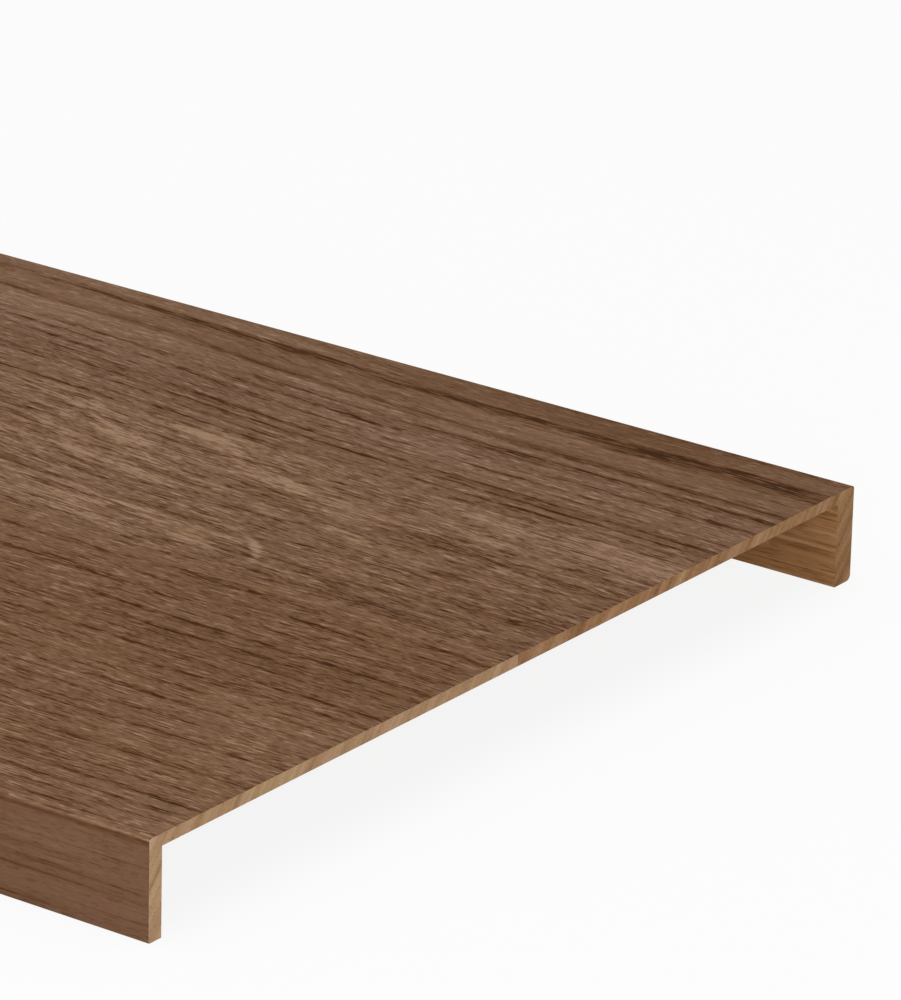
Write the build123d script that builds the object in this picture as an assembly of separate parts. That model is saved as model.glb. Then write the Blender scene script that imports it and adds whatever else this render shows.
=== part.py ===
# Door threshold of solid oak: an inverted channel that goes over a raised sill and is glued to it.
# It is one moulding, worked out of a single board: a wide, thin top with a lip down each long side.
# The lips stand on the floor, and both ends are square saw cuts.
# Frame: X along the doorway, Y from the front lip to the rear lip, Z up.
# The origin is on the floor, under the middle of the threshold. Sizes are in millimetres.

import os

from build123d import *

# Overall size
LENGTH = 925.0
WIDTH = 280.0
HEIGHT = 25.0

# Thickness of the top and of the two lips
TOP_THICKNESS = 3.0
FRONT_LIP_THICKNESS = 4.5
REAR_LIP_THICKNESS = 7.0

# Rounding of the outer edges: both edges of the walking surface, and the foot of each lip
ARRIS_RADIUS = 0.7
FRONT_FOOT_RADIUS = 0.4
REAR_FOOT_RADIUS = 1.5

# Places and sizes that follow from those above
FRONT_Y = -WIDTH / 2
REAR_Y = WIDTH / 2
GROOVE_WIDTH = WIDTH - FRONT_LIP_THICKNESS - REAR_LIP_THICKNESS
GROOVE_DEPTH = HEIGHT - TOP_THICKNESS


def grooved_blank():
    """The board's section, with the groove for the sill taken out between the two lips."""
    blank = Rectangle(WIDTH, HEIGHT, align=(Align.CENTER, Align.MIN))
    groove = Rectangle(GROOVE_WIDTH, GROOVE_DEPTH, align=Align.MIN)
    return blank - Pos(FRONT_Y + FRONT_LIP_THICKNESS, 0) * groove


def eased(section, corner, radius):
    """The section with the corner at this place rounded."""
    return fillet(section.vertices().sort_by_distance(corner)[0], radius)


section = grooved_blank()
section = eased(section, (FRONT_Y, HEIGHT), ARRIS_RADIUS)
section = eased(section, (REAR_Y, HEIGHT), ARRIS_RADIUS)
section = eased(section, (FRONT_Y, 0), FRONT_FOOT_RADIUS)
section = eased(section, (REAR_Y, 0), REAR_FOOT_RADIUS)

threshold = extrude(Plane.YZ * section, LENGTH / 2, both=True)
threshold.label = "threshold"

os.makedirs("parts", exist_ok=True)
export_step(threshold, "parts/threshold.step")
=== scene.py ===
import math

import bpy
from mathutils import Matrix, Vector


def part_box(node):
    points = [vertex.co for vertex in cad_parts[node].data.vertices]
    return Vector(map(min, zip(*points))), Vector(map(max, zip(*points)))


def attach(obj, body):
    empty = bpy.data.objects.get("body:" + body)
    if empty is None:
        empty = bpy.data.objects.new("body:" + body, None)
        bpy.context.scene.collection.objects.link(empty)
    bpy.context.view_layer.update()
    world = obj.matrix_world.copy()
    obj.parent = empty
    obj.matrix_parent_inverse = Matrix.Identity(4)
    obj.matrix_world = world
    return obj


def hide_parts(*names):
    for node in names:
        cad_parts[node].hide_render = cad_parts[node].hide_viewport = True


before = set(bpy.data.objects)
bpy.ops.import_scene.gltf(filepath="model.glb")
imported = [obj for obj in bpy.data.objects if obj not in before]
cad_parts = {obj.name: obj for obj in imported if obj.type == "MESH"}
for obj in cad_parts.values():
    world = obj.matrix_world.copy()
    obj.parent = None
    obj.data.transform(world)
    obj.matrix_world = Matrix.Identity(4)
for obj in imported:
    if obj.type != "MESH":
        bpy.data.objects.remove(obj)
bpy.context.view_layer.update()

# The threshold itself, one oak moulding that is glued over a raised sill.
# It is a board grooved from below, so that a thin top and two lips are left, with its edges eased.
# The outside is stained brown and lacquered matt; the sawn ends and the groove are bare oak.
low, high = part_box("threshold")
LENGTH, WIDTH, HEIGHT = high - low
# Thicknesses and radii in metres, the same as the part's own
TOP_THICKNESS = 0.003
FRONT_LIP = 0.0045
REAR_LIP = 0.007
ARRIS_RADIUS = 0.0007
FRONT_FOOT_RADIUS = 0.0004
REAR_FOOT_RADIUS = 0.0015
EDGE_FACETS = 12


def add(tree, kind, inputs=None, **settings):
    """A new node with these settings. An input takes a value, or the output that it is linked to."""
    node = tree.nodes.new(kind)
    for name, value in settings.items():
        setattr(node, name, value)
    for key, value in (inputs or {}).items():
        if isinstance(value, bpy.types.NodeSocket):
            tree.links.new(value, node.inputs[key])
        else:
            node.inputs[key].default_value = value
    return node


def calc(tree, operation, *numbers):
    """The output of one Math node; each number is a value or an output."""
    kind = "ShaderNodeMath"
    return add(tree, kind, dict(enumerate(numbers)), operation=operation).outputs[0]


def product(tree, first, *others):
    """Outputs multiplied together."""
    total = first
    for other in others:
        total = calc(tree, "MULTIPLY", total, other)
    return total


def scaled(tree, share, at_none, at_full):
    """A share from 0 to 1 turned into a value between these two."""
    return calc(tree, "MULTIPLY_ADD", share, at_full - at_none, at_none)


def eased_step(tree, value, start, end):
    """How far a value has come on its way from start to end, from 0 to 1."""
    inputs = {"Value": value, "From Min": start, "From Max": end}
    return add(tree, "ShaderNodeMapRange", inputs, interpolation_type="SMOOTHSTEP").outputs[0]


def between(tree, value, start, end, fade):
    """1 where a value lies between two others and 0 outside, with a soft change at both."""
    rise = eased_step(tree, value, start - fade, start + fade)
    return product(tree, rise, eased_step(tree, value, end + fade, end - fade))


def curve(tree, value, points):
    """The height of a smooth line through these points, which start at 0, read at a value."""
    reach = points[-1][0]
    highest = max(height for along, height in points)
    node = add(tree, "ShaderNodeFloatCurve", {"Value": calc(tree, "DIVIDE", value, reach)})
    line = node.mapping.curves[0]
    for spare in points[2:]:
        line.points.new(0.5, 0.5)
    for point, (along, height) in zip(line.points, points):
        point.location = (along / reach, height / highest)
        point.handle_type = "AUTO_CLAMPED"
    node.mapping.update()
    return calc(tree, "MULTIPLY", node.outputs[0], highest)


def weighed(tree, start, *terms):
    """A starting value plus outputs times their weights, each counted from its own middle value."""
    total = start
    for output, weight, middle in terms:
        share = calc(tree, "MULTIPLY_ADD", output, weight, -weight * middle)
        total = calc(tree, "ADD", total, share)
    return total


def vector_calc(tree, operation, first, second):
    """The vector output of one Vector Math node."""
    kind = "ShaderNodeVectorMath"
    return add(tree, kind, {0: first, 1: second}, operation=operation).outputs[0]


def drawn_noise(tree, place, size, output="Fac", **settings):
    """Noise drawn out along the board, in marks of about this length and width in millimetres."""
    length, across = size
    scale = (1 / length, 1 / across, 1 / across)
    drawn = add(tree, "ShaderNodeMapping", {"Vector": place, "Scale": scale}).outputs[0]
    inputs = {"Vector": drawn, "Scale": 1.0, "Detail": 1.0, **settings}
    return add(tree, "ShaderNodeTexNoise", inputs).outputs[output]


def strokes(tree, place, size, level, edge):
    """Strokes along the grain where fine noise falls below a level, more softly with a wider edge."""
    noise = drawn_noise(tree, place, size)
    return eased_step(tree, calc(tree, "SUBTRACT", level, noise), 0.0, edge)


# Two dark streaks in the rear stave: millimetres from the far end, and from the rear edge
WIDE_STREAK = [
    (0.0, 11.0),
    (300.0, 6.0),
    (600.0, 5.0),
    (685.0, 7.0),
    (725.0, 8.5),
    (775.0, 10.5),
    (825.0, 12.5),
    (865.0, 12.2),
    (905.0, 10.5),
    (925.0, 11.0),
]
THIN_STREAK = [
    (0.0, 26.0),
    (350.0, 21.0),
    (620.0, 16.0),
    (667.0, 18.0),
    (725.0, 20.5),
    (775.0, 25.0),
    (825.0, 27.6),
    (875.0, 28.6),
    (925.0, 30.2),
]
# The board is glued from two staves. The front one shows another part of the pattern.
MILLIMETRES = 1000.0
STAVE_JOINT_Y = -2.5
STAVE_SHIFT = (437.0, 61.0, 23.0)
# How far the grain wanders to each side, and in bends of what size
WANDER = (0.0, 7.0, 7.0)
GRAIN_BEND = (190.0, 60.0)


def oak_places(tree):
    """Where a point lies in the oak, in millimetres: in the board, in its stave, along the bent grain."""
    metres = add(tree, "ShaderNodeTexCoord").outputs["Object"]
    board = vector_calc(tree, "MULTIPLY", metres, (MILLIMETRES, MILLIMETRES, MILLIMETRES))
    x, y, z = add(tree, "ShaderNodeSeparateXYZ", {0: board}).outputs
    front_stave = calc(tree, "LESS_THAN", y, STAVE_JOINT_Y)
    shift = add(tree, "ShaderNodeCombineXYZ")
    for axis, distance in enumerate(STAVE_SHIFT):
        tree.links.new(calc(tree, "MULTIPLY", front_stave, distance), shift.inputs[axis])
    stave = vector_calc(tree, "ADD", board, shift.outputs[0])
    drift = drawn_noise(tree, stave, GRAIN_BEND, output="Color")
    drift = vector_calc(tree, "SUBTRACT", drift, (0.5, 0.5, 0.5))
    grain = vector_calc(tree, "ADD", stave, vector_calc(tree, "MULTIPLY", drift, WANDER))

    # The grain of the rear stave runs along the thin streak
    along = calc(tree, "ADD", x, LENGTH * MILLIMETRES / 2)
    rear_stave = calc(tree, "SUBTRACT", 1.0, front_stave)
    bend = product(tree, rear_stave, curve(tree, along, THIN_STREAK))
    bent = add(tree, "ShaderNodeCombineXYZ", {"Y": bend}).outputs[0]
    return {
        "along": along,
        "from_front": calc(tree, "ADD", y, WIDTH * MILLIMETRES / 2),
        "from_rear": calc(tree, "SUBTRACT", WIDTH * MILLIMETRES / 2, y),
        "x": x,
        "y": y,
        "z": z,
        "board": board,
        "stave": stave,
        "grain": vector_calc(tree, "ADD", grain, bent),
        "front_stave": front_stave,
        "rear_stave": rear_stave,
    }


def colour(red, green, blue):
    """A screen colour of 0 to 255 as the linear colour that a shader takes."""
    shares = [channel / 255 for channel in (red, green, blue)]
    linear = [s / 12.92 if s <= 0.04045 else ((s + 0.055) / 1.055) ** 2.4 for s in shares]
    return (*linear, 1.0)


def shaded(tree, tone, stops):
    """The tone from 0 to 1 turned into a colour, through these colours at even steps."""
    ramp = add(tree, "ShaderNodeValToRGB", {"Fac": tone})
    elements = ramp.color_ramp.elements
    for spare in stops[2:]:
        elements.new(0.5)
    for step, (element, shade) in enumerate(zip(elements, stops)):
        element.position = step / (len(stops) - 1)
        element.color = colour(*shade)
    return ramp.outputs["Color"]


def tinted(tree, shade, factor, tint):
    """The colour multiplied by a tint, as far as the factor says."""
    # Inputs 6 and 7 and output 2 are the Mix node's sockets for colours
    inputs = {0: factor, 6: shade, 7: (*tint, 1.0)}
    mix = add(tree, "ShaderNodeMix", inputs, data_type="RGBA", blend_type="MULTIPLY")
    return mix.outputs[2]


def finished(name, figure, relief, specular):
    """A material whose colour, roughness and height come from a figure, with this depth of relief."""
    material = bpy.data.materials.new(name)
    material.use_nodes = True
    tree = material.node_tree
    shader = tree.nodes["Principled BSDF"]
    shade, rough, height = figure(tree)
    bump = add(tree, "ShaderNodeBump", {"Height": height, "Distance": relief, "Strength": 1.0})
    tree.links.new(shade, shader.inputs["Base Color"])
    tree.links.new(rough, shader.inputs["Roughness"])
    tree.links.new(bump.outputs[0], shader.inputs["Normal"])
    shader.inputs["Specular IOR Level"].default_value = specular
    return material


# From here on a mark's size is its length and width in millimetres. Its tone is its weight, which darkens
# below 0, and the value that it is counted from.
STREAK_WOBBLE = (30.0, 8.0)
STREAK_SWAY = 1.0
STREAK_FIBRE = (12.0, 0.9)
STREAK_FIBRE_LEVELS = (0.62, 0.38)
STREAK_FIBRE_SHARES = (0.3, 1.3)
STREAK_REAR_EDGE = (-1.6, 0.4)
# Each line along a streak: how far in front of it the line starts, and over what width it fades
WIDE_CORE = (0.0, 2.8)
WIDE_VEIL = (0.0, 8.0)
END_SMUDGE = (1.5, 8.5)
THIN_CORE = (0.0, 2.4)
THIN_HALO = (3.0, 8.0)
WIDE_CORE_TONE = (-0.36, 0.0)
WIDE_VEIL_TONE = (-0.36, 0.0)
END_SMUDGE_TONE = (-0.40, 0.0)
THIN_CORE_TONE = (-0.30, 0.0)
THIN_HALO_TONE = (0.10, 0.0)
REAR_STRIP_TONE = (-0.15, 0.0)
# Where along the board the wide streak, its smudge and the strip behind it gain their strength
WIDE_GAINS = (640.0, 770.0)
WIDE_SHARES = (0.4, 1.0)
SMUDGE_GAINS = (845.0, 882.0)
REAR_STRIP_GAINS = (740.0, 840.0)
REAR_STRIP_EDGE = (1.0, -2.0)


def streak_line(tree, offset, line):
    """A line along a streak, from a point's offset in front of the streak."""
    start, spread = line
    soft, full = STREAK_REAR_EDGE
    rear_side = eased_step(tree, offset, start + soft, start + full)
    return product(tree, rear_side, eased_step(tree, offset, start + spread, start + full))


def streak_tone(tree, at, marks):
    """The tone of the marks with the two streaks laid over them, split by fibres and swaying a little."""
    wobble = drawn_noise(tree, at["grain"], STREAK_WOBBLE, Detail=2.0)
    sway = scaled(tree, wobble, STREAK_SWAY, -STREAK_SWAY)
    wide, thin = [
        calc(tree, "SUBTRACT", at["from_rear"], calc(tree, "ADD", sway, curve(tree, at["along"], route)))
        for route in (WIDE_STREAK, THIN_STREAK)
    ]
    fibre = drawn_noise(tree, at["grain"], STREAK_FIBRE, Detail=2.0)
    kept = scaled(tree, eased_step(tree, fibre, *STREAK_FIBRE_LEVELS), *STREAK_FIBRE_SHARES)
    wide_kept = product(tree, kept, scaled(tree, eased_step(tree, at["along"], *WIDE_GAINS), *WIDE_SHARES))
    smudge_kept = product(tree, kept, eased_step(tree, at["along"], *SMUDGE_GAINS))
    rear_strip = product(
        tree,
        eased_step(tree, wide, *REAR_STRIP_EDGE),
        eased_step(tree, at["along"], *REAR_STRIP_GAINS),
    )
    return weighed(
        tree,
        marks,
        (product(tree, streak_line(tree, wide, WIDE_CORE), wide_kept), *WIDE_CORE_TONE),
        (product(tree, streak_line(tree, wide, WIDE_VEIL), wide_kept), *WIDE_VEIL_TONE),
        (product(tree, streak_line(tree, wide, END_SMUDGE), smudge_kept), *END_SMUDGE_TONE),
        (product(tree, streak_line(tree, thin, THIN_CORE), kept), *THIN_CORE_TONE),
        (product(tree, streak_line(tree, thin, THIN_HALO), kept), *THIN_HALO_TONE),
        (rear_strip, *REAR_STRIP_TONE),
    )


# Rows of pores: how many lie in a millimetre of each stave, how they drift, and how they are broken
REAR_ROWS = 0.2
FRONT_ROWS = 0.14
ROW_DRIFT = (300.0, 22.0)
ROW_DRIFT_REACH = 16.0
ROW_WIDTH = (0.26, 0.04)
ROW_BREAK = (45.0, 3.0)
ROW_BREAK_LEVELS = (0.36, 0.60)
ROW_BREAK_SHARES = (0.3, 1.0)


def pore_rows(tree, at):
    """How near a point is to a row of pores, from 0 to 1. Each year's growth leaves one row."""
    across = add(tree, "ShaderNodeSeparateXYZ", {0: at["grain"]}).outputs["Y"]
    drift = drawn_noise(tree, at["stave"], ROW_DRIFT)
    across = calc(tree, "MULTIPLY_ADD", drift, ROW_DRIFT_REACH, across)
    years = product(tree, across, scaled(tree, at["front_stave"], REAR_ROWS, FRONT_ROWS))
    near = eased_step(tree, calc(tree, "PINGPONG", years, 0.5), *ROW_WIDTH)
    broken = eased_step(tree, drawn_noise(tree, at["grain"], ROW_BREAK), *ROW_BREAK_LEVELS)
    return product(tree, near, scaled(tree, broken, *ROW_BREAK_SHARES))


# Ray flecks: the zone that they lie in, from the front edge and along the board, and how they are split
FLECK_ZONE = (140.0, 210.0)
FLECK_ZONE_FADE = 3.0
FLECKS_END = (980.0, 800.0)
FLECK = (42.0, 6.0)
FLECK_DETAIL = {"Detail": 2.0, "Distortion": 0.6}
FLECK_LEVELS = (0.51, 0.63)
FLECK_SLANT = math.radians(8)
FLECK_GROUP = (120.0, 40.0)
FLECK_GROUP_LEVELS = (0.42, 0.60)
FLECKS_EVERYWHERE = (540.0, 640.0)
FLECK_FIBRE = (20.0, 1.5)
FLECK_FIBRE_LEVELS = (0.38, 0.58)
FLECK_FIBRE_SHARES = (0.5, 1.1)


def ray_flecks(tree, at):
    """Pale flecks aslant the grain, in groups towards the far end, each split into fibres."""
    turned = {"Vector": at["grain"], "Rotation": (0.0, 0.0, FLECK_SLANT)}
    slanted = add(tree, "ShaderNodeMapping", turned).outputs[0]
    fleck = drawn_noise(tree, slanted, FLECK, **FLECK_DETAIL)
    group = eased_step(tree, drawn_noise(tree, at["board"], FLECK_GROUP), *FLECK_GROUP_LEVELS)
    near_end = eased_step(tree, at["along"], *FLECKS_EVERYWHERE)
    fibre = eased_step(tree, drawn_noise(tree, at["grain"], FLECK_FIBRE), *FLECK_FIBRE_LEVELS)
    return product(
        tree,
        eased_step(tree, fleck, *FLECK_LEVELS),
        between(tree, at["from_front"], *FLECK_ZONE, FLECK_ZONE_FADE),
        eased_step(tree, at["along"], *FLECKS_END),
        calc(tree, "MAXIMUM", near_end, group),
        scaled(tree, fibre, *FLECK_FIBRE_SHARES),
    )


# One curled fleck: its middle, from the middle of the board, and the radius, half width and blur of its line
CURL_MIDDLE = (364.6, 1.9, 25.0)
CURL_RADIUS = 14.3
CURL_HALF_WIDTH = 1.2
CURL_BLUR = 0.9
CURL_WOBBLE = (8.0, 4.0)
CURL_SWAY = 1.5
# Where the curl begins, past its middle towards the near end and towards the rear
CURL_NEAR_END = (2.0, 7.0)
CURL_REAR = (-1.0, 4.0)


def ray_curl(tree, at):
    """A pale fleck bent into a quarter of a ring, open to the front and to the far end."""
    inputs = {0: at["board"], 1: CURL_MIDDLE}
    distance = add(tree, "ShaderNodeVectorMath", inputs, operation="DISTANCE").outputs["Value"]
    sway = scaled(tree, drawn_noise(tree, at["board"], CURL_WOBBLE), -CURL_SWAY, CURL_SWAY)
    distance = calc(tree, "ADD", distance, sway)
    inside, outside = CURL_RADIUS - CURL_HALF_WIDTH, CURL_RADIUS + CURL_HALF_WIDTH
    return product(
        tree,
        between(tree, distance, inside, outside, CURL_BLUR),
        eased_step(tree, at["x"], *[CURL_MIDDLE[0] + edge for edge in CURL_NEAR_END]),
        eased_step(tree, at["y"], *[CURL_MIDDLE[1] + edge for edge in CURL_REAR]),
    )


# Tone of the stained lips, and of the top at these distances in millimetres from the front edge
SIDE_TONE = 0.43
TONE_ACROSS = [
    (0.0, 0.57),
    (34.0, 0.54),
    (67.0, 0.53),
    (78.0, 0.49),
    (95.0, 0.48),
    (134.0, 0.51),
    (142.0, 0.53),
    (185.0, 0.54),
    (194.0, 0.60),
    (206.0, 0.60),
    (211.0, 0.51),
    (224.0, 0.53),
    (280.0, 0.55),
]
# How far the pores keep to rows, and how many there are outside the rows, at the same distances
ROWS_ACROSS = [
    (0.0, 0.7),
    (66.0, 0.7),
    (74.0, 0.8),
    (110.0, 0.8),
    (134.0, 0.7),
    (142.0, 0.15),
    (206.0, 0.15),
    (211.0, 1.1),
    (246.0, 1.1),
    (254.0, 0.1),
    (280.0, 0.0),
]
PORES_ACROSS = [
    (0.0, 0.37),
    (134.0, 0.36),
    (142.0, 0.41),
    (206.0, 0.41),
    (212.0, 0.35),
    (244.0, 0.35),
    (253.0, 0.32),
    (280.0, 0.31),
]
# Broad figure, which is calmer in the front stave
PATCH = (90.0, 26.0)
PATCH_TONE = (0.45, 0.5)
BAND = (160.0, 4.0)
BAND_DETAIL = {"Detail": 2.0, "Roughness": 0.7}
BAND_TONE = (0.65, 0.5)
FRONT_CALM = 0.5
# What draws more pores to a place, or keeps them away
CLUSTER = (22.0, 8.0)
ROW_PULL = (0.14, 0.0)
BAND_PULL = (-0.10, 0.5)
CLUSTER_PULL = (-0.15, 0.5)
# Fine marks. The two kinds of pore and the pale fibres are shifted, so that none repeats another.
DASH = (9.5, 0.8)
DASH_TONE = (-0.30, 0.15)
NICK = (3.6, 0.55)
NICK_TONE = (-0.25, 0.15)
NICK_SHIFT = (50.0, 9.0, 5.0)
MORE_NICKS = 0.02
PORE_EDGE = 0.05
PALE_FIBRE = (6.0, 0.7)
PALE_FIBRE_TONE = (0.28, 0.2)
PALE_SHIFT = (90.0, 3.0, 8.0)
PALE_LEVEL = 0.42
PALE_EDGE = 0.06
FINE_LINE = (90.0, 0.8)
FINE_LINE_TONE = (-0.11, 0.25)
SIDE_LINE_TONE = (-0.13, 0.25)
LINE_LEVEL = 0.42
LINE_EDGE = 0.12
SPECKLE = (2.2, 0.5)
SPECKLE_TONE = (0.6, 0.5)
ROW_TONE = (-0.10, 0.15)
FLECK_TONE = (0.29, 0.10)
CURL_TONE = (0.38, 0.0)
# Fine marks are fainter along the rear, and fainter still on the lips
REAR_QUIET = (46.0, 16.0)
REAR_SHARES = (1.0, 0.8)
SIDE_SHARES = (0.2, 1.0)
# The height at which the top takes over from the lips, a painted highlight along the upper edges and a band
# of painted shade below them
TOP_STARTS = (24.1, 24.8)
HIGHLIGHT_EDGE_REACH = (0.6, 0.25)
HIGHLIGHT_EDGE_TONE = (0.20, 0.0)
SHADE_BAND = (1.0, 1.9)
SHADE_BAND_BLUR = 0.4
SHADE_BAND_TONE = (-0.16, 0.0)
STAIN_SHADES = [(63, 36, 13), (94, 61, 36), (116, 84, 61), (135, 103, 81), (161, 130, 108)]
FRONT_STAVE_TINT = (1.0, 0.975, 0.94)
GREY_ZONE = (27.0, 62.0)
GREY_ZONE_FADE = 8.0
GREY_TINT = (0.985, 0.99, 1.025)
SIDE_TINT = (0.985, 1.0, 1.12)
HUE_PATCH = (40.0, 9.0)
HUE_SHIFT = (20.0, 40.0, 2.0)
HUE_LEVELS = (0.38, 0.62)
HUE_TINT = (0.985, 1.0, 0.955)
FLECK_TINT = (1.02, 1.0, 0.94)
# Roughness and height of the marks, each with its weight and the value that it is counted from
LACQUER_ROUGHNESS = 0.6
DASH_ROUGHNESS = (0.12, 0.0)
BAND_ROUGHNESS = (0.2, 0.5)
DASH_HEIGHT = (-1.0, 0.0)
NICK_HEIGHT = (-0.7, 0.0)
SPECKLE_HEIGHT = (0.8, 0.5)
LINE_HEIGHT = (-0.4, 0.0)


def stained(tree):
    """Stained and lacquered oak: the stain darkens the pores most."""
    at = oak_places(tree)
    grain = at["grain"]
    on_top = eased_step(tree, at["z"], *TOP_STARTS)
    on_side = calc(tree, "SUBTRACT", 1.0, on_top)

    # Broad figure: patches and bands
    patches = drawn_noise(tree, grain, PATCH)
    bands = drawn_noise(tree, grain, BAND, **BAND_DETAIL)
    tone_across = calc(tree, "SUBTRACT", curve(tree, at["from_front"], TONE_ACROSS), SIDE_TONE)
    tone = calc(tree, "MULTIPLY_ADD", tone_across, on_top, SIDE_TONE)
    broad = weighed(tree, 0.0, (patches, *PATCH_TONE), (bands, *BAND_TONE))
    tone = calc(tree, "MULTIPLY_ADD", broad, scaled(tree, at["front_stave"], 1.0, FRONT_CALM), tone)

    # Fine marks: open pores as dark dashes, most of them in rows, and pale fibres between them
    clusters = drawn_noise(tree, grain, CLUSTER)
    rows = product(tree, pore_rows(tree, at), curve(tree, at["from_front"], ROWS_ACROSS))
    level = curve(tree, at["from_front"], PORES_ACROSS)
    level = weighed(tree, level, (rows, *ROW_PULL), (bands, *BAND_PULL), (clusters, *CLUSTER_PULL))
    dashes = strokes(tree, grain, DASH, level, PORE_EDGE)
    nick_level = calc(tree, "ADD", level, MORE_NICKS)
    nicks = strokes(tree, vector_calc(tree, "ADD", grain, NICK_SHIFT), NICK, nick_level, PORE_EDGE)
    pale_place = vector_calc(tree, "ADD", grain, PALE_SHIFT)
    pale = strokes(tree, pale_place, PALE_FIBRE, PALE_LEVEL, PALE_EDGE)
    lines = strokes(tree, grain, FINE_LINE, LINE_LEVEL, LINE_EDGE)
    speckle = drawn_noise(tree, grain, SPECKLE)
    marks = weighed(
        tree,
        0.0,
        (rows, *ROW_TONE),
        (lines, *FINE_LINE_TONE),
        (dashes, *DASH_TONE),
        (nicks, *NICK_TONE),
        (pale, *PALE_FIBRE_TONE),
        (speckle, *SPECKLE_TONE),
    )
    marks = product(tree, marks, scaled(tree, eased_step(tree, at["from_rear"], *REAR_QUIET), *REAR_SHARES))

    # Flecks and streaks over them. On the lips all of this is faint, and fine lines show instead.
    flecks = ray_flecks(tree, at)
    marks = weighed(tree, marks, (flecks, *FLECK_TONE), (ray_curl(tree, at), *CURL_TONE))
    marks = streak_tone(tree, at, marks)
    tone = calc(tree, "MULTIPLY_ADD", marks, scaled(tree, on_top, *SIDE_SHARES), tone)
    tone = weighed(tree, tone, (product(tree, lines, on_side), *SIDE_LINE_TONE))

    # Painted highlight along the upper edges, and a band of painted shade just below them on the lips
    below_top = calc(tree, "SUBTRACT", HEIGHT * MILLIMETRES, at["z"])
    edge = calc(tree, "MINIMUM", at["from_front"], at["from_rear"])
    # Painted highlight: the tone is raised on the rounded upper edges
    painted_highlight = eased_step(tree, calc(tree, "ADD", edge, below_top), *HIGHLIGHT_EDGE_REACH)
    # Painted shade: the tone is lowered in a band on the lips just below the rounded upper edge
    painted_shade_band = between(tree, below_top, *SHADE_BAND, SHADE_BAND_BLUR)
    tone = weighed(tree, tone, (painted_highlight, *HIGHLIGHT_EDGE_TONE), (painted_shade_band, *SHADE_BAND_TONE))

    shade = shaded(tree, tone, STAIN_SHADES)
    shade = tinted(tree, shade, product(tree, at["front_stave"], on_top), FRONT_STAVE_TINT)
    shade = tinted(tree, shade, between(tree, at["from_rear"], *GREY_ZONE, GREY_ZONE_FADE), GREY_TINT)
    shade = tinted(tree, shade, on_side, SIDE_TINT)
    hue = drawn_noise(tree, vector_calc(tree, "ADD", grain, HUE_SHIFT), HUE_PATCH, Detail=2.0)
    shade = tinted(tree, shade, eased_step(tree, hue, *HUE_LEVELS), HUE_TINT)
    shade = tinted(tree, shade, flecks, FLECK_TINT)
    rough = weighed(tree, LACQUER_ROUGHNESS, (dashes, *DASH_ROUGHNESS), (bands, *BAND_ROUGHNESS))
    height = weighed(
        tree,
        0.0,
        (dashes, *DASH_HEIGHT),
        (nicks, *NICK_HEIGHT),
        (speckle, *SPECKLE_HEIGHT),
        (lines, *LINE_HEIGHT),
    )
    return shade, rough, height


# Sawn ends: rings aslant, stretched along their own line, with more contrast in the darker rear stave
RING_SLANT = math.radians(-40)
RING_STRETCH = 12.0
RING = (400.0, 4.0)
RING_DETAIL = {"Detail": 3.0, "Roughness": 0.65}
RING_MIDDLE = 0.5
REAR_CONTRAST = 1.9
FRONT_CONTRAST = 1.3
END_PATCH = (400.0, 30.0)
END_PATCH_TONE = (0.2, 0.5)
END_PORE = (5.0, 0.45)
END_PORE_LEVELS = (0.42, 0.30)
END_PORE_TONE = (-0.2, 0.1)
END_SHADES = [(122, 87, 58), (169, 134, 104), (196, 166, 138)]
REAR_STAVE_TINT = (0.77, 0.67, 0.57)
END_HUE_SHIFT = (0.0, 40.0, 2.0)
END_HUE_TINT = (0.96, 1.01, 0.92)
MIDDLE_TONE = 0.5
SAWN_ROUGHNESS = 0.8
END_PORE_ROUGHNESS = (0.1, 0.0)
RING_ROUGHNESS = (0.2, 0.5)
END_PORE_HEIGHT = (-1.0, 0.0)
RING_HEIGHT = (0.5, 0.5)


def sawn(tree):
    """Bare end grain: rings aslant, dotted with pores."""
    at = oak_places(tree)
    turned = {
        "Vector": at["stave"],
        "Rotation": (RING_SLANT, 0.0, 0.0),
        "Scale": (1.0, 1.0, RING_STRETCH),
    }
    aslant = add(tree, "ShaderNodeMapping", turned, vector_type="TEXTURE").outputs[0]
    rings = drawn_noise(tree, aslant, RING, **RING_DETAIL)
    pores = eased_step(tree, drawn_noise(tree, at["grain"], END_PORE), *END_PORE_LEVELS)
    contrast = scaled(tree, at["front_stave"], REAR_CONTRAST, FRONT_CONTRAST)
    swing = product(tree, calc(tree, "SUBTRACT", rings, RING_MIDDLE), contrast)
    patches = drawn_noise(tree, at["stave"], END_PATCH)
    tone = calc(tree, "ADD", swing, MIDDLE_TONE)
    tone = weighed(tree, tone, (patches, *END_PATCH_TONE), (pores, *END_PORE_TONE))
    shade = shaded(tree, tone, END_SHADES)
    shade = tinted(tree, shade, at["rear_stave"], REAR_STAVE_TINT)
    hue = drawn_noise(tree, vector_calc(tree, "ADD", at["stave"], END_HUE_SHIFT), HUE_PATCH, Detail=2.0)
    shade = tinted(tree, shade, eased_step(tree, hue, *HUE_LEVELS), END_HUE_TINT)
    rough = weighed(tree, SAWN_ROUGHNESS, (pores, *END_PORE_ROUGHNESS), (rings, *RING_ROUGHNESS))
    height = weighed(tree, 0.0, (pores, *END_PORE_HEIGHT), (rings, *RING_HEIGHT))
    return shade, rough, height


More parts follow.
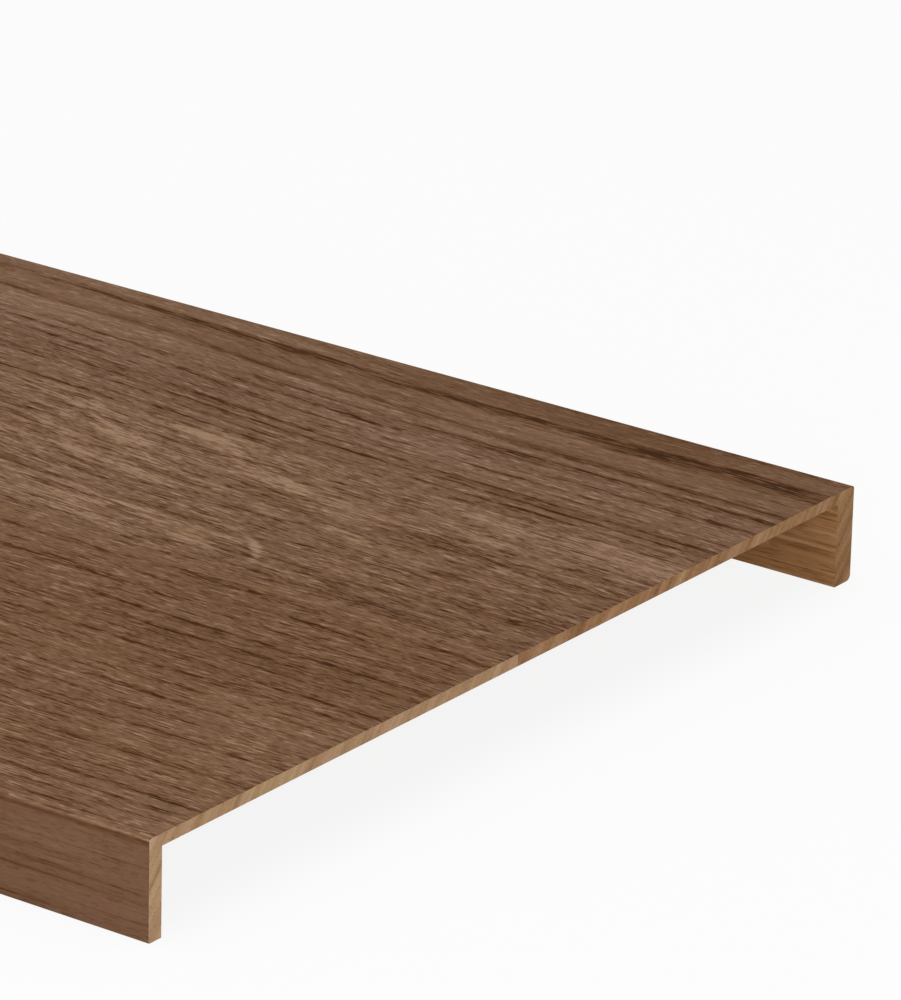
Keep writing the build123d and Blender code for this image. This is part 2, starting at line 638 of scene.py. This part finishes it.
# Groove: long fibres with lines, pores and pale threads along them
LONG_FIBRE = (250.0, 9.0)
LONG_FIBRE_DETAIL = {"Detail": 4.5, "Roughness": 0.93}
LONG_FIBRE_TONE = (0.9, 0.5)
GROOVE_LINE = (60.0, 0.8)
GROOVE_LINE_LEVEL = 0.44
GROOVE_LINE_TONE = (-0.18, 0.2)
GROOVE_PORE = (7.0, 0.6)
GROOVE_PORE_LEVEL = 0.42
GROOVE_PORE_EDGE = 0.06
GROOVE_PORE_TONE = (-0.14, 0.2)
PALE_THREAD = (40.0, 0.7)
PALE_THREAD_TONE = (0.17, 0.2)
THREAD_EDGE = 0.08
GROOVE_SHADES = [(100, 62, 30), (154, 112, 73), (184, 147, 110)]
PLANED_ROUGHNESS = 0.7
GROOVE_PORE_ROUGHNESS = (0.1, 0.0)
LONG_FIBRE_ROUGHNESS = (0.3, 0.5)
GROOVE_PORE_HEIGHT = (-1.0, 0.0)
GROOVE_LINE_HEIGHT = (-0.6, 0.0)
LONG_FIBRE_HEIGHT = (1.0, 0.5)


def planed(tree):
    """Bare oak left by the groove cutter, unstained."""
    grain = oak_places(tree)["grain"]
    fibre = drawn_noise(tree, grain, LONG_FIBRE, **LONG_FIBRE_DETAIL)
    lines = strokes(tree, grain, GROOVE_LINE, GROOVE_LINE_LEVEL, THREAD_EDGE)
    pore_place = vector_calc(tree, "ADD", grain, NICK_SHIFT)
    pores = strokes(tree, pore_place, GROOVE_PORE, GROOVE_PORE_LEVEL, GROOVE_PORE_EDGE)
    pale_place = vector_calc(tree, "ADD", grain, PALE_SHIFT)
    pale = strokes(tree, pale_place, PALE_THREAD, PALE_LEVEL, THREAD_EDGE)
    tone = weighed(
        tree,
        MIDDLE_TONE,
        (fibre, *LONG_FIBRE_TONE),
        (lines, *GROOVE_LINE_TONE),
        (pores, *GROOVE_PORE_TONE),
        (pale, *PALE_THREAD_TONE),
    )
    shade = shaded(tree, tone, GROOVE_SHADES)
    rough = weighed(
        tree,
        PLANED_ROUGHNESS,
        (pores, *GROOVE_PORE_ROUGHNESS),
        (fibre, *LONG_FIBRE_ROUGHNESS),
    )
    height = weighed(
        tree,
        0.0,
        (pores, *GROOVE_PORE_HEIGHT),
        (lines, *GROOVE_LINE_HEIGHT),
        (fibre, *LONG_FIBRE_HEIGHT),
    )
    return shade, rough, height


# Depth of the open pores under lacquer and of the bare wood's fibres, in metres, and how little each shines
STAINED_RELIEF = 0.00012
BARE_RELIEF = 0.00006
LACQUER_SHINE = 0.014
BARE_SHINE = 0.024
stained_oak = finished("stained_oak", stained, STAINED_RELIEF, LACQUER_SHINE)
bare_oak_end = finished("bare_oak_end", sawn, BARE_RELIEF, BARE_SHINE)
bare_oak_groove = finished("bare_oak_groove", planed, BARE_RELIEF, BARE_SHINE)

# The groove cutter runs past both ends and out below. A face counts as turned one way past FACING.
CUTTER_OVERRUN = 1.1
CUTTER_DEPTHS = 2.0
WELD = 1e-6
FACING = 0.7
INWARD = -0.001


def blank_section(tree, given):
    """The blank's section, its own x along Y and its own y along Z, with an eased edge at each corner."""
    section = add(
        tree,
        "GeometryNodeCurvePrimitiveQuadrilateral",
        {"Width": given["Width"], "Height": given["Height"]},
    )
    place = add(tree, "GeometryNodeInputPosition").outputs[0]
    corner = add(tree, "ShaderNodeSeparateXYZ", {0: place}).outputs
    is_rear, is_upper = [
        add(tree, "FunctionNodeCompare", {0: corner[axis], 1: 0.0}, operation="GREATER_THAN").outputs[0]
        for axis in ("X", "Y")
    ]
    foot = add(
        tree,
        "GeometryNodeSwitch",
        {"Switch": is_rear, "False": given["Front Foot Radius"], "True": given["Rear Foot Radius"]},
        input_type="FLOAT",
    )
    radius = add(
        tree,
        "GeometryNodeSwitch",
        {"Switch": is_upper, "False": foot.outputs[0], "True": given["Arris Radius"]},
        input_type="FLOAT",
    )
    eased = add(
        tree,
        "GeometryNodeFilletCurve",
        {"Curve": section.outputs[0], "Count": given["Edge Facets"], "Radius": radius.outputs[0]},
        mode="POLY",
    )
    return add(tree, "GeometryNodeFillCurve", {0: eased.outputs[0]}, mode="NGONS").outputs[0]


def drawn_blank(tree, given):
    """The section stood up at the far end and drawn out to the full length, as a closed mesh."""
    far_end = calc(tree, "MULTIPLY", given["Length"], -0.5)
    half_height = calc(tree, "MULTIPLY", given["Height"], 0.5)
    place = add(tree, "ShaderNodeCombineXYZ", {"X": far_end, "Z": half_height})
    stood_up = add(
        tree,
        "GeometryNodeTransform",
        {
            "Geometry": blank_section(tree, given),
            "Translation": place.outputs[0],
            "Rotation": (math.pi / 2, 0.0, math.pi / 2),
        },
    )
    drawn_out = add(
        tree,
        "GeometryNodeExtrudeMesh",
        {"Mesh": stood_up.outputs[0], "Offset Scale": given["Length"], "Individual": False},
        mode="FACES",
    )
    closed = add(tree, "GeometryNodeFlipFaces", {0: stood_up.outputs[0]})
    joined = add(tree, "GeometryNodeJoinGeometry")
    tree.links.new(drawn_out.outputs[0], joined.inputs[0])
    tree.links.new(closed.outputs[0], joined.inputs[0])
    return add(tree, "GeometryNodeMergeByDistance", {0: joined.outputs[0], "Distance": WELD}).outputs[0]


def groove_cutter(tree, given):
    """The block that cuts the groove; it stands out below the blank and past both ends."""
    lips = calc(tree, "ADD", given["Front Lip"], given["Rear Lip"])
    underside = calc(tree, "SUBTRACT", given["Height"], given["Top Thickness"])
    size = add(
        tree,
        "ShaderNodeCombineXYZ",
        {
            "X": calc(tree, "MULTIPLY", given["Length"], CUTTER_OVERRUN),
            "Y": calc(tree, "SUBTRACT", given["Width"], lips),
            "Z": calc(tree, "MULTIPLY", underside, CUTTER_DEPTHS),
        },
    )
    offset = calc(tree, "SUBTRACT", given["Front Lip"], given["Rear Lip"])
    place = add(tree, "ShaderNodeCombineXYZ", {"Y": calc(tree, "MULTIPLY", offset, 0.5)})
    block = add(tree, "GeometryNodeMeshCube", {"Size": size.outputs[0]})
    inputs = {"Geometry": block.outputs[0], "Translation": place.outputs[0]}
    return add(tree, "GeometryNodeTransform", inputs).outputs[0]


def threshold_tree():
    """Geometry Nodes for the moulding: an eased blank as long as the doorway, less the groove."""
    tree = bpy.data.node_groups.new("threshold_moulding", "GeometryNodeTree")
    for name in (
        "Length",
        "Width",
        "Height",
        "Top Thickness",
        "Front Lip",
        "Rear Lip",
        "Arris Radius",
        "Front Foot Radius",
        "Rear Foot Radius",
    ):
        tree.interface.new_socket(name, in_out="INPUT", socket_type="NodeSocketFloat")
    tree.interface.new_socket("Edge Facets", in_out="INPUT", socket_type="NodeSocketInt")
    tree.interface.new_socket("Geometry", in_out="OUTPUT", socket_type="NodeSocketGeometry")
    given = add(tree, "NodeGroupInput").outputs
    grooved = add(
        tree,
        "GeometryNodeMeshBoolean",
        {"Mesh 1": drawn_blank(tree, given), "Mesh 2": groove_cutter(tree, given)},
        operation="DIFFERENCE",
        solver="EXACT",
    )
    result = add(tree, "GeometryNodeRealizeInstances", {0: grooved.outputs[0]}).outputs[0]

    # Bare wood inside the groove and under the feet, sawn wood on the ends, stain on the rest
    middle = add(tree, "ShaderNodeSeparateXYZ", {0: add(tree, "GeometryNodeInputPosition").outputs[0]})
    facing = add(tree, "ShaderNodeSeparateXYZ", {0: add(tree, "GeometryNodeInputNormal").outputs[0]})
    endwise = calc(tree, "GREATER_THAN", calc(tree, "ABSOLUTE", facing.outputs["X"]), FACING)
    downward = calc(tree, "LESS_THAN", facing.outputs["Z"], -FACING)
    outward = calc(tree, "MULTIPLY", facing.outputs["Y"], middle.outputs["Y"])
    bare = calc(tree, "MAXIMUM", downward, calc(tree, "LESS_THAN", outward, INWARD))
    for material, chosen in ((stained_oak, None), (bare_oak_groove, bare), (bare_oak_end, endwise)):
        inputs = {"Geometry": result, "Material": material}
        if chosen:
            inputs["Selection"] = chosen
        result = add(tree, "GeometryNodeSetMaterial", inputs).outputs[0]
    add(tree, "NodeGroupOutput", {"Geometry": result})
    return tree


def modelled(name, tree, sizes):
    """The tree's result as a plain mesh object; sizes are set by each socket's identifier."""
    made = bpy.data.objects.new(name, bpy.data.meshes.new(name))
    bpy.context.scene.collection.objects.link(made)
    modifier = made.modifiers.new("shape", "NODES")
    modifier.node_group = tree
    for socket in tree.interface.items_tree:
        if socket.in_out == "INPUT":
            modifier[socket.identifier] = sizes[socket.name]
    evaluated = made.evaluated_get(bpy.context.evaluated_depsgraph_get())
    made.data = bpy.data.meshes.new_from_object(evaluated)
    made.modifiers.clear()
    return made


threshold = modelled(
    "oak_threshold",
    threshold_tree(),
    {
        "Length": LENGTH,
        "Width": WIDTH,
        "Height": HEIGHT,
        "Top Thickness": TOP_THICKNESS,
        "Front Lip": FRONT_LIP,
        "Rear Lip": REAR_LIP,
        "Arris Radius": ARRIS_RADIUS,
        "Front Foot Radius": FRONT_FOOT_RADIUS,
        "Rear Foot Radius": REAR_FOOT_RADIUS,
        "Edge Facets": EDGE_FACETS,
    },
)

# Share of the baked picture's height that each side takes, from its lower edge up, with the grain along it.
# The two ends stand side by side in one strip.
BAKE_ROOM = {
    "below": 0.08,
    "ends": 0.04,
    "front_inside": 0.03,
    "rear_inside": 0.05,
    "front": 0.09,
    "rear": 0.08,
    "top": 0.63,
}
BAKE_MARGIN = 0.004
END_ROOM = 0.48
NEAR_END_START = 0.5


def side_of(face):
    """The side of the moulding that a face belongs to, from the direction that it faces most."""
    axis = max(range(3), key=lambda number: abs(face.normal[number]))
    if axis == 0:
        return "ends"
    if axis == 2:
        return "top" if face.normal.z > 0 else "below"
    lip = "front" if face.center.y < 0 else "rear"
    return lip if face.normal.y * face.center.y > 0 else lip + "_inside"


def lay_out(mesh):
    """A map for baking: each side is a strip, with the grain drawn along it and more room across it."""
    starts = {}
    total = sum(BAKE_ROOM.values())
    used = 0.0
    for side, room in BAKE_ROOM.items():
        starts[side] = used / total
        used += room
    layer = mesh.uv_layers.new(name="OFBake")
    for face in mesh.polygons:
        side = side_of(face)
        room = BAKE_ROOM[side] / total - 2 * BAKE_MARGIN
        for loop in face.loop_indices:
            x, y, z = mesh.vertices[mesh.loops[loop].vertex_index].co
            along, across = x / LENGTH + 0.5, z / HEIGHT
            if side in ("top", "below"):
                across = y / WIDTH + 0.5
            if side == "ends":
                along = (y / WIDTH + 0.5) * END_ROOM + (NEAR_END_START if x > 0 else 0.0)
            u = BAKE_MARGIN + along * (1 - 2 * BAKE_MARGIN)
            layer.data[loop].uv = (u, starts[side] + BAKE_MARGIN + across * room)


lay_out(threshold.data)
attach(threshold, "root")
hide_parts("threshold")

# Stage: one wide white floor under the threshold, which takes its soft shadow.
# It is lifted to white where it is looked at, fully so away from the threshold.
FLOOR_SIZE = 12.0
FLOOR_GLOW = 0.88
FLOOR_COLOUR = (0.9, 0.9, 0.9, 1.0)
WHITE = (1.0, 1.0, 1.0, 1.0)
SHADOW_REACH = (0.9, 2.4)


def looked_at(tree):
    """1 for a ray that shows the stage to the camera, straight, reflected or through glass, and else 0."""
    ray = add(tree, "ShaderNodeLightPath").outputs
    seen = calc(tree, "MAXIMUM", ray["Is Camera Ray"], ray["Is Glossy Ray"])
    return calc(tree, "MAXIMUM", seen, ray["Is Transmission Ray"])


half = FLOOR_SIZE / 2
floor_corners = [(-half, -half, 0), (half, -half, 0), (half, half, 0), (-half, half, 0)]
floor_mesh = bpy.data.meshes.new("floor")
floor_mesh.from_pydata(floor_corners, [], [(0, 1, 2, 3)])
floor = bpy.data.objects.new("floor", floor_mesh)
bpy.context.scene.collection.objects.link(floor)
white_floor = bpy.data.materials.new("white_floor")
white_floor.use_nodes = True
floor_tree = white_floor.node_tree
floor_shader = floor_tree.nodes["Principled BSDF"]
floor_shader.inputs["Base Color"].default_value = FLOOR_COLOUR
floor_shader.inputs["Roughness"].default_value = 1.0
floor_shader.inputs["Specular IOR Level"].default_value = 0.0
place = add(floor_tree, "ShaderNodeTexCoord").outputs["Object"]
distance = add(floor_tree, "ShaderNodeVectorMath", {0: place}, operation="LENGTH").outputs["Value"]
lift = scaled(floor_tree, eased_step(floor_tree, distance, *SHADOW_REACH), FLOOR_GLOW, 1.0)
glow = add(floor_tree, "ShaderNodeEmission", {"Color": WHITE, "Strength": 1.0})
lifted = add(
    floor_tree,
    "ShaderNodeMixShader",
    {0: product(floor_tree, looked_at(floor_tree), lift), 1: floor_shader.outputs[0], 2: glow.outputs[0]},
)
floor_tree.links.new(lifted.outputs[0], floor_tree.nodes["Material Output"].inputs["Surface"])
floor_mesh.materials.append(white_floor)

# Light: an even white room, a large soft lamp overhead and another low in front of the open end.
# The camera and reflections see the room as plain white; its light on the threshold is lower.
ROOM_LIGHT = 0.45
world = bpy.data.worlds.new("white_room")
bpy.context.scene.world = world
world.use_nodes = True
room = world.node_tree.nodes["Background"]
room.inputs["Color"].default_value = WHITE
room_light = scaled(world.node_tree, looked_at(world.node_tree), ROOM_LIGHT, 1.0)
world.node_tree.links.new(room_light, room.inputs["Strength"])
bpy.context.scene.view_settings.view_transform = "Standard"


def soft_lamp(name, place, aim, size, watts):
    """A square area lamp at a place, turned to the point that it lights."""
    lamp = bpy.data.lights.new(name, "AREA")
    lamp.size = size
    lamp.energy = watts
    lamp_object = bpy.data.objects.new(name, lamp)
    lamp_object.location = place
    lamp_object.rotation_euler = (Vector(aim) - Vector(place)).to_track_quat("-Z", "Y").to_euler()
    bpy.context.scene.collection.objects.link(lamp_object)


soft_lamp("overhead_lamp", place=(0.2, -0.4, 2.4), aim=(0.2, 0.0, 0.0), size=2.4, watts=27.0)
soft_lamp("low_lamp", place=(1.7, -1.6, 0.55), aim=(0.45, 0.0, 0.0), size=1.0, watts=22.0)

# Camera: a long lens, from in front of the right-hand end and above, as in the photograph.
# Its turn, tilt, roll and distance were fitted to the straight edges that show there.
CAMERA_AIM = Vector((0.39155, 0.06799, HEIGHT))
CAMERA_DISTANCE = 1.7483
CAMERA_TURN = math.radians(35.626)
CAMERA_TILT = math.radians(21.013)
CAMERA_ROLL = math.radians(-1.482)
SENSOR = 36.0
LENS = 257.13
forward = Vector(
    (
        -math.sin(CAMERA_TURN) * math.cos(CAMERA_TILT),
        math.cos(CAMERA_TURN) * math.cos(CAMERA_TILT),
        -math.sin(CAMERA_TILT),
    )
)
level = Vector((math.cos(CAMERA_TURN), math.sin(CAMERA_TURN), 0.0))
upright = level.cross(forward)
right = level * math.cos(CAMERA_ROLL) - upright * math.sin(CAMERA_ROLL)
up = level * math.sin(CAMERA_ROLL) + upright * math.cos(CAMERA_ROLL)
camera_data = bpy.data.cameras.new("camera")
camera_data.sensor_width = SENSOR
camera_data.lens = LENS
camera = bpy.data.objects.new("camera", camera_data)
axes = Matrix((right, up, -forward)).transposed()
camera.matrix_world = Matrix.Translation(CAMERA_AIM - forward * CAMERA_DISTANCE) @ axes.to_4x4()
bpy.context.scene.collection.objects.link(camera)
bpy.context.scene.camera = camera
